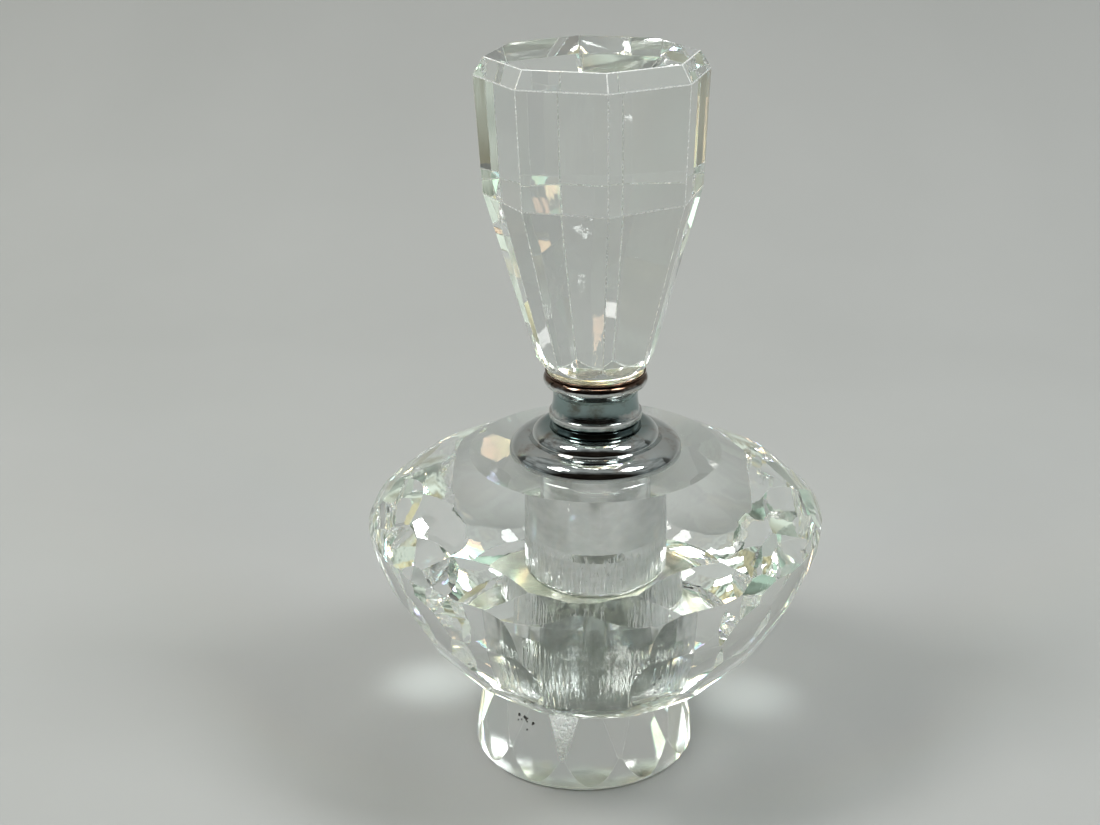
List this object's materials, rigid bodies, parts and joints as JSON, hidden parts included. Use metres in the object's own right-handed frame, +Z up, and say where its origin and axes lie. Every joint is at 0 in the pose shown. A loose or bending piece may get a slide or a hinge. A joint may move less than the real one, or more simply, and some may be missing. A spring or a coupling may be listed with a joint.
{
  "type": "perfume bottle",
  "caption": "Cut-crystal perfume bottle: faceted squat body on a small faceted foot, chromed collar, and a screw-on octagonal crystal stopper with a glass dauber.",
  "frame": {"origin": "on the bottle's axis in the plane of the foot's underside", "axes": "+Z up along the bottle's axis, the clear front window of the body faces -Y"},
  "size_m": [0.0754, 0.0762, 0.1191],
  "materials": {
    "crystal": "polished clear lead crystal",
    "dauber_glass": "fire-polished clear glass rod",
    "chrome": "bright chrome plating",
    "clear_glue": "cured clear adhesive, slightly yellowed",
    "neck_plastic": "clear grey moulded plastic",
    "cap_plastic": "white moulded plastic",
    "soft_seal": "soft sealing ring"
  },
  "bodies": {
    "bottle": {"crystal_foot": "crystal", "foot_glue": "clear_glue", "crystal_body": "crystal", "bore_glue": "clear_glue", "neck_insert": "neck_plastic", "neck_collar": "chrome"},
    "gasket": {"neck_gasket": "soft_seal"},
    "washer": {"seal_washer": "soft_seal"},
    "stopper": {"cap_liner": "cap_plastic", "screw_cap": "chrome", "dauber_plug": "cap_plastic", "dauber_rod": "dauber_glass", "stopper_glue": "clear_glue", "crystal_stopper": "crystal"}
  },
  "joints": [
    {"name": "cap_lift", "type": "slide", "parent": "bottle", "child": "gasket", "axis": [0, 0, 1], "range_m": [0, 0.048]},
    {"name": "thread_rise", "type": "slide", "parent": "gasket", "child": "washer", "axis": [0, 0, 1], "range_m": [0, 0.003]},
    {"name": "cap_turn", "type": "hinge", "parent": "washer", "child": "stopper", "pos_m": [0, 0, 0.06], "axis": [0, 0, 1], "range_deg": [0, 720]}
  ],
  "couplings": [
    {"joint": "thread_rise", "follows": "cap_turn", "m_per_rad": 0.00023873}
  ]
}
